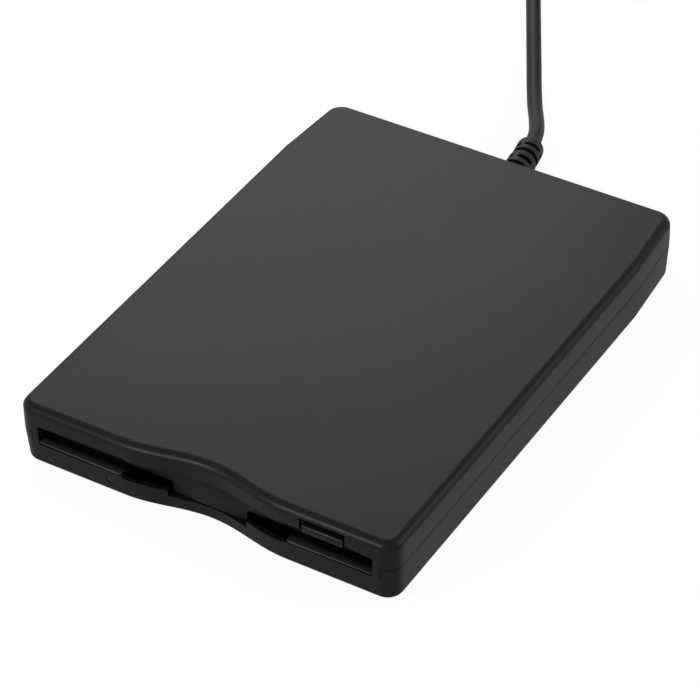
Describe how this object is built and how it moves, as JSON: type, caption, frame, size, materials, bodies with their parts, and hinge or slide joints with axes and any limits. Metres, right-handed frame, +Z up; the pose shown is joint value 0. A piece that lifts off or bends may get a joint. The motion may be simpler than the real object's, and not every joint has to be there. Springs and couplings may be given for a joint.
{
  "type": "external floppy disk drive",
  "caption": "Slim external floppy disk drive: tapered dark case with a curved front, flapped disk slot, eject button, activity light, inner disk mechanism and a coiled USB lead.",
  "frame": {"origin": "on the table under the middle of the case: the centre of the case's outline, at the level of the feet's undersides", "axes": "+X to the right along the front as one faces it, +Y from the front to the back, +Z up"},
  "size_m": [0.1155, 0.3153, 0.0182],
  "materials": {
    "case_top": "fine satin grain",
    "case_bottom": "moulded, slightly glossy",
    "inner_plastic": "plain moulded",
    "flap_plastic": "plain moulded",
    "button_plastic": "satin",
    "rubber": "soft matte",
    "cord": "satin flexible jacket",
    "lens": "frosted",
    "zinc_steel": "zinc-plated sheet",
    "turned_steel": "turned and polished",
    "spring_steel": "drawn wire",
    "screw_steel": "plated",
    "plug_metal": "nickel-plated sheet",
    "brass": "sintered",
    "copper": "varnished winding",
    "board_green": "coated circuit board",
    "chip_black": "moulded",
    "ceramic": "ground",
    "pale_plastic": "moulded"
  },
  "bodies": {
    "drive": {"top_cover": "case_top", "bottom_cover": "case_bottom", "rubber_feet": "rubber", "case_screws": "screw_steel", "front_frame": "inner_plastic", "flap_spring": "spring_steel", "light_lens": "lens", "light_led": "pale_plastic", "chassis": "zinc_steel", "side_plates": "zinc_steel", "chassis_screws": "screw_steel", "slide_springs": "spring_steel", "latch_post": "turned_steel", "latch_spring": "spring_steel", "spindle_bearing": "brass", "motor_coils": "copper", "guide_rod": "turned_steel", "stepper_motor": "zinc_steel", "disk_switches": "chip_black", "drive_board": "board_green", "drive_chips": "chip_black", "usb_board": "board_green", "usb_chips": "chip_black", "lead_socket": "pale_plastic", "board_ribbon": "pale_plastic", "strain_relief": "rubber", "usb_cord": "cord", "cord_coil": "cord", "coil_tie": "rubber", "plug_cord": "cord", "plug_body": "rubber", "plug_shell": "plug_metal", "plug_tongue": "pale_plastic"},
    "ejector": {"slide_plate": "zinc_steel", "eject_button": "button_plastic"},
    "cage": {"disk_cage": "zinc_steel", "cage_rails": "zinc_steel"},
    "latch": {"latch_lever": "zinc_steel"},
    "flap": {"slot_flap": "flap_plastic"},
    "spindle": {"spindle_rotor": "zinc_steel", "spindle_hub": "inner_plastic", "drive_pin": "turned_steel"},
    "screw": {"lead_screw": "turned_steel"},
    "carriage": {"head_carriage": "inner_plastic", "lower_head": "ceramic", "arm_pin": "turned_steel", "arm_spring": "spring_steel"},
    "arm": {"head_arm": "zinc_steel", "upper_head": "ceramic"}
  },
  "joints": [
    {"name": "eject_slide", "type": "slide", "parent": "drive", "child": "ejector", "axis": [0, -1, 0], "range_m": [0, 0.004]},
    {"name": "cage_drop", "type": "slide", "parent": "drive", "child": "cage", "axis": [0, 0, -1], "range_m": [0, 0.002]},
    {"name": "latch_turn", "type": "hinge", "parent": "drive", "child": "latch", "pos_m": [-0.03, 0.0355, 0.0135], "axis": [0, 0, 1], "range_deg": [0, 24]},
    {"name": "flap_hinge", "type": "hinge", "parent": "drive", "child": "flap", "pos_m": [0, -0.0657, 0.0142], "axis": [1, 0, 0], "range_deg": [0, 90], "stiffness_Nm_per_rad": 0.0002},
    {"name": "spindle_spin", "type": "hinge", "parent": "drive", "child": "spindle", "pos_m": [0, -0.0165, 0.005], "axis": [0, 0, 1], "continuous": true},
    {"name": "screw_spin", "type": "hinge", "parent": "drive", "child": "screw", "pos_m": [0.022, 0.0405, 0.0086], "axis": [0, 1, 0], "range_deg": [0, 1776]},
    {"name": "head_travel", "type": "slide", "parent": "drive", "child": "carriage", "axis": [0, -1, 0], "range_m": [0, 0.0148]},
    {"name": "arm_close", "type": "hinge", "parent": "carriage", "child": "arm", "pos_m": [0, 0.05, 0.0145], "axis": [1, 0, 0], "range_deg": [0, 8.7]}
  ],
  "couplings": [
    {"joint": "cage_drop", "follows": "eject_slide", "ratio": 0.5},
    {"joint": "latch_turn", "follows": "eject_slide", "rad_per_m": 104.7},
    {"joint": "arm_close", "follows": "eject_slide", "rad_per_m": 37.9},
    {"joint": "screw_spin", "follows": "head_travel", "rad_per_m": 2094.4}
  ]
}
